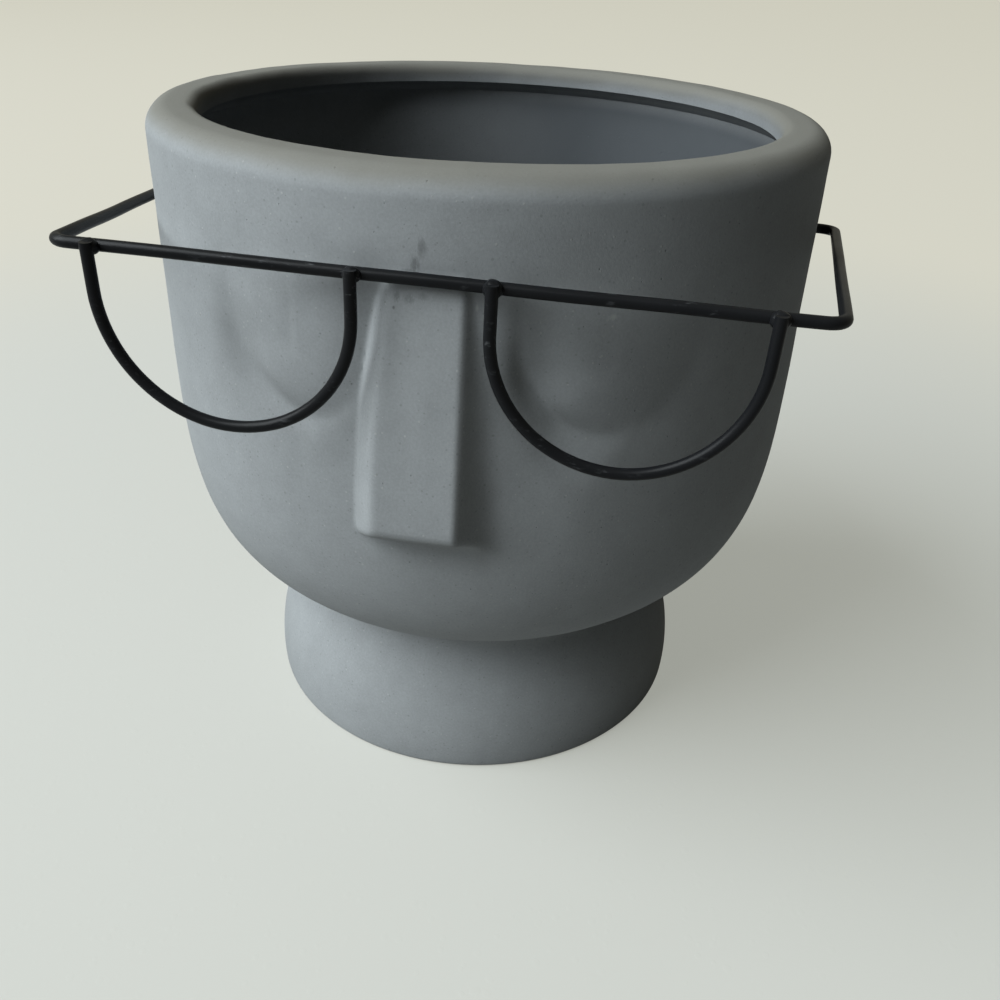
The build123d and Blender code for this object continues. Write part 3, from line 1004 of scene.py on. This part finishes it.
def lay_floor(radius):
    """A round floor of flat wedges."""
    wedges = 96
    points = [(0.0, 0.0, 0.0)]
    for step in range(wedges):
        turn = math.tau * step / wedges
        points.append((radius * math.cos(turn), radius * math.sin(turn), 0.0))
    mesh = bpy.data.meshes.new("floor")
    mesh.from_pydata(points, [], [(0, step + 1, (step + 1) % wedges + 1) for step in range(wedges)])
    mesh.materials.append(ready_material("pale_floor"))
    floor = link_object("floor", mesh)


def hang_lamp(stage):
    """One broad soft lamp at the left of the face."""
    lamp = bpy.data.lights.new("window", "AREA")
    lamp.shape = "RECTANGLE"
    lamp.size, lamp.size_y = stage.lamp_width, stage.lamp_tall
    lamp.energy = stage.lamp_power
    lamp.color = LAMP_COLOUR
    level = math.cos(stage.lamp_height)
    towards = Vector(
        (
            -math.sin(stage.lamp_azimuth) * level,
            -math.cos(stage.lamp_azimuth) * level,
            math.sin(stage.lamp_height),
        )
    )
    hung = link_object("window", lamp)
    hung.location = POT_MIDDLE + towards * stage.lamp_distance
    hung.rotation_euler = towards.to_track_quat("Z", "Y").to_euler()


def light_room(scene, settings):
    """Weak light from the left and from above, and a pale backdrop for the camera and gloss."""
    stage = settings.stage
    world = bpy.data.worlds.new("room")
    world.use_nodes = True
    world.node_tree.nodes.clear()
    tree = Tree(world.node_tree)
    across, _, upward = tree.parts(tree.node("ShaderNodeTexCoord").outputs["Generated"])
    side_light = tree.ramp(across, -1.0, 1.0, 1.8, 0.2)
    top_light = tree.ramp(upward, 0.65, 0.95)
    strength = side_light * stage.fill + top_light * stage.ceiling
    fill = tree.node("ShaderNodeBackground", {"Color": FILL_COLOUR, "Strength": strength})
    inputs = {"Color": settings.finish.backdrop, "Strength": 1.0}
    backdrop = tree.node("ShaderNodeBackground", inputs)
    rays = tree.node("ShaderNodeLightPath")
    seen = camera_share(tree, rays)
    seen = tree.maths("MAXIMUM", seen, tree.value(rays.outputs["Is Transmission Ray"]))
    mix = tree.node("ShaderNodeMixShader", {0: seen, 1: fill.outputs[0], 2: backdrop.outputs[0]})
    tree.node("ShaderNodeOutputWorld", {"Surface": mix.outputs[0]})
    scene.world = world


def place_camera(scene, stage):
    """The camera at the photograph's place, its turn given as yaw, pitch and roll."""
    lens = bpy.data.cameras.new("view")
    lens.lens = stage.lens
    lens.sensor_width = SENSOR_WIDTH
    lens.shift_x, lens.shift_y = stage.shift_x, stage.shift_y
    lens.clip_start, lens.clip_end = 0.01, 60.0
    yaw, pitch, roll = stage.yaw, stage.pitch, stage.roll
    forward = Vector((math.sin(yaw) * math.cos(pitch), math.cos(yaw) * math.cos(pitch), -math.sin(pitch)))
    level = Vector((math.cos(yaw), -math.sin(yaw), 0.0))
    upward = level.cross(forward)
    right = level * math.cos(roll) + upward * math.sin(roll)
    top = upward * math.cos(roll) - level * math.sin(roll)
    turned = Matrix((right, top, -forward)).transposed()
    camera = link_object("view", lens)
    camera.matrix_world = Matrix.Translation(Vector(stage.camera_place)) @ turned.to_4x4()
    scene.camera = camera


# Operators

class PLANTER_OT_materials(bpy.types.Operator):
    """Make the shared effects and the materials of the pot, the wires and the floor"""

    bl_idname = "planter.materials"
    bl_label = "Make materials"

    def execute(self, context):
        settings = context.scene.head_planter
        speck, rub, worn = speck_group(), smudge_group(), scratch_group()
        stoneware_material(settings, speck, rub)
        wire_material(settings, worn, 0.55, "satin_black_wire")
        wire_material(settings, worn, 1.0, "scuffed_black_weld")
        floor_material(settings, speck)
        return {"FINISHED"}


class PLANTER_OT_head(bpy.types.Operator):
    """Turn the head pot from its section and work in the nose and the closed eyes"""

    bl_idname = "planter.head"
    bl_label = "Turn the head pot"

    def execute(self, context):
        settings = context.scene.head_planter
        pot, face = settings.pot, settings.face
        points, skins, lips = pot_section(pot)
        section = section_object("pot_section", points, {"skin": skins, "lip": lips})
        values = {
            "Columns": pot.columns,
            **{title(name): getattr(face, name) for name in FACE_INPUTS},
            **{title(name): getattr(pot, name) for name in POT_INPUTS},
            "Ear Place": tuple(pot.ear_place),
            "Material": ready_material("matte_stoneware"),
        }
        tree = turned_pot_tree()
        grow(section, tree, values, "turned_head_pot", "pot", "head_pot", POT_SHARP)
        return {"FINISHED"}


class PLANTER_OT_wires(bpy.types.Operator):
    """Bend the brow wire and the two half-moon lens wires"""

    bl_idname = "planter.wires"
    bl_label = "Bend the wires"

    def execute(self, context):
        wire = context.scene.head_planter.wire
        tree = bent_wire_tree()
        values = {
            "Wire Radius": wire.wire_radius,
            "Bend Radius": wire.bend_radius,
            "Step": WIRE_STEP,
            "Waver": wire.waver,
            "Seed": float(wire.seed),
            "Material": ready_material("satin_black_wire"),
        }
        hook_left, hook_right = Vector(wire.hook_left), Vector(wire.hook_right)
        corners = [
            Vector((-wire.hook_tip, hook_left.y, hook_left.z)),
            hook_left,
            Vector(wire.bar_left),
            Vector(wire.bar_right),
            hook_right,
            Vector((wire.hook_tip, hook_right.y, hook_right.z)),
        ]
        line = line_object("brow_line", corners)
        grow(line, tree, values, "bent_brow_wire", "glasses", "brow_wire", WIRE_SHARP)
        middle, along = brow_bar(wire, wire.lens_face)
        down = Vector((along.z, 0.0, -along.x))

        # The half-moons are drawn round, so their corners need no bend
        values["Bend Radius"] = 0.0
        for name, node, side in (
            ("bent_left_lens", "left_lens_wire", -1),
            ("bent_right_lens", "right_lens_wire", 1),
        ):
            centre = middle + along * (side * wire.lens_place) + down * wire.lens_leg
            values["Seed"] = float(wire.seed + side)
            line = line_object(name + "_line", half_moon(wire, centre, along, down))
            grow(line, tree, values, name, "glasses", node, WIRE_SHARP)
        return {"FINISHED"}


class PLANTER_OT_beads(bpy.types.Operator):
    """Join the lens wires to the bar with four lumpy beads"""

    bl_idname = "planter.beads"
    bl_label = "Add the weld beads"

    def execute(self, context):
        wire = context.scene.head_planter.wire
        middle, along = brow_bar(wire, (wire.bar_face + wire.lens_face) / 2)
        spots = []
        for lens_side in (-1, 1):
            for end_side in (-1, 1):
                run = lens_side * wire.lens_place + end_side * wire.lens_radius
                spots.append(middle + along * run)
        mesh = bpy.data.meshes.new("bead_spots")
        mesh.from_pydata(spots, [], [])
        start = link_object("bead_spots", mesh)
        values = {
            "Bead Radius": wire.bead_radius,
            "Lumps": BEAD_LUMPS,
            "Seed": wire.seed,
            "Material": ready_material("scuffed_black_weld"),
        }
        tree = weld_bead_tree()
        grow(start, tree, values, "lens_weld_beads", "glasses", "lens_welds", WIRE_SHARP)
        return {"FINISHED"}


class PLANTER_OT_stage(bpy.types.Operator):
    """Lay the floor, hang the lamp, set the light from all round and place the camera"""

    bl_idname = "planter.stage"
    bl_label = "Set the stage"

    def execute(self, context):
        settings = context.scene.head_planter
        lay_floor(settings.stage.floor_radius)
        hang_lamp(settings.stage)
        light_room(context.scene, settings)
        place_camera(context.scene, settings.stage)
        context.scene.view_settings.view_transform = "Standard"
        return {"FINISHED"}


class PLANTER_PT_sidebar(bpy.types.Panel):
    """Lists the steps that make the planter"""

    bl_idname = "PLANTER_PT_sidebar"
    bl_label = "Head planter"
    bl_space_type = "VIEW_3D"
    bl_region_type = "UI"
    bl_category = "Planter"

    def draw(self, context):
        for operator in OPERATORS:
            self.layout.operator(operator.bl_idname)


OPERATORS = (
    PLANTER_OT_materials,
    PLANTER_OT_head,
    PLANTER_OT_wires,
    PLANTER_OT_beads,
    PLANTER_OT_stage,
)
CLASSES = (
    PotSizes,
    FaceSizes,
    WireSizes,
    Finishes,
    StageSizes,
    PlanterSettings,
    *OPERATORS,
    PLANTER_PT_sidebar,
)


def register():
    """Register every class and hang the settings on the scene."""
    for kind in CLASSES:
        bpy.utils.register_class(kind)
    bpy.types.Scene.head_planter = bpy.props.PointerProperty(type=PlanterSettings)


def unregister():
    """Take the settings and the classes away again."""
    del bpy.types.Scene.head_planter
    for kind in reversed(CLASSES):
        bpy.utils.unregister_class(kind)


def main():
    """Make the planter step by step."""
    register()
    bpy.ops.planter.materials()
    bpy.ops.planter.head()
    bpy.ops.planter.wires()
    bpy.ops.planter.beads()
    bpy.ops.planter.stage()


if __name__ == "__main__":
    main()
